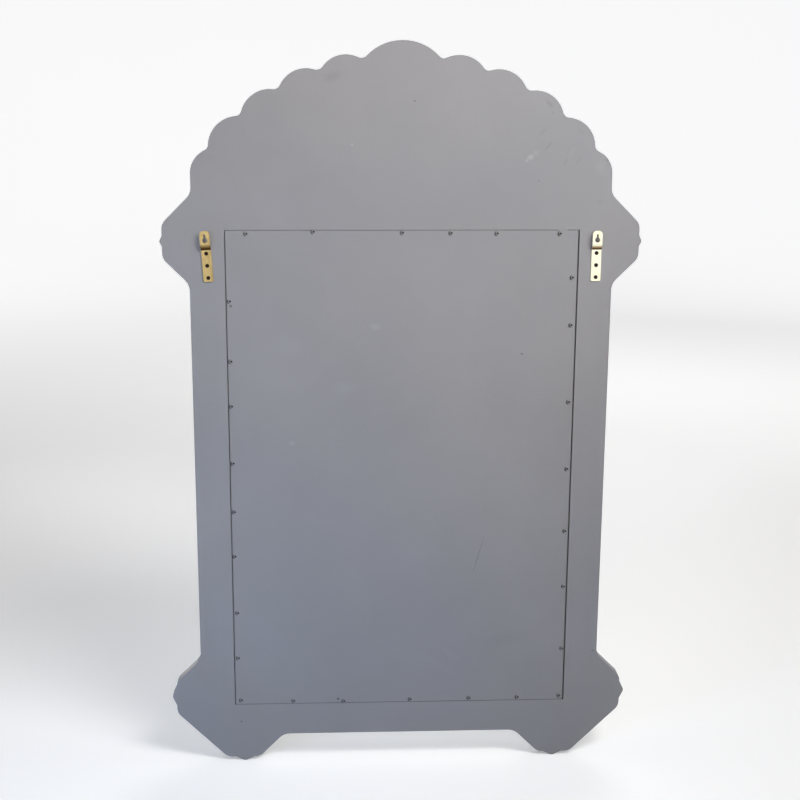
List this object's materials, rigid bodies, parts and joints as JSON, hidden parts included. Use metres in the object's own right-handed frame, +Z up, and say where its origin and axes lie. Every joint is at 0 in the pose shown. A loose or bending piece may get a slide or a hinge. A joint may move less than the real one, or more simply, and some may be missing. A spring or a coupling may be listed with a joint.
{
  "type": "wall mirror",
  "caption": "Wall mirror in a scalloped arched wooden frame with shell inlay in grey resin, a screwed grey back panel and brass keyhole hanger straps.",
  "frame": {"origin": "midway between the middles of the two keyholes, on the wall plane that the raised ends of the hangers touch", "axes": "+Z up along the frame's height, +Y into the wall, so the mirror faces -Y and +X is the viewer's right seen from the front"},
  "size_m": [0.6124, 0.0228, 0.958],
  "materials": {
    "painted_board": "grey satin paint, faintly mottled",
    "painted_panel": "grey satin paint, faintly mottled",
    "mirror": "silvered glass",
    "resin": "polished grey resin filler",
    "pearl": "polished mother of pearl",
    "panel_screw": "painted over with the panel",
    "hanger_gold": "polished brass",
    "hanger_pale": "polished brass",
    "hanger_screw": "blackened steel"
  },
  "bodies": {
    "root": {"frame_board": "painted_board", "mirror_plate": "mirror", "back_panel": "painted_panel", "filler_crown": "resin", "filler_stile_left": "resin", "filler_stile_right": "resin", "filler_rail": "resin", "panel_screws_top": "panel_screw", "panel_screws_bottom": "panel_screw", "panel_screws_left": "panel_screw", "panel_screws_right": "panel_screw", "hanger_left": "hanger_gold", "hanger_right": "hanger_pale", "hanger_screws_left": "hanger_screw", "hanger_screws_right": "hanger_screw", "pearl_edge_band": "pearl", "pearl_sight_band": "pearl", "pearl_crown_medallion": "pearl", "pearl_crown_fans": "pearl", "pearl_crown_laurel": "pearl", "pearl_crown_sprays": "pearl", "pearl_stile_left": "pearl", "pearl_stile_right": "pearl", "pearl_rail": "pearl", "pearl_ear_left": "pearl", "pearl_ear_right": "pearl", "pearl_foot_left": "pearl", "pearl_foot_right": "pearl"}
  },
  "joints": []
}
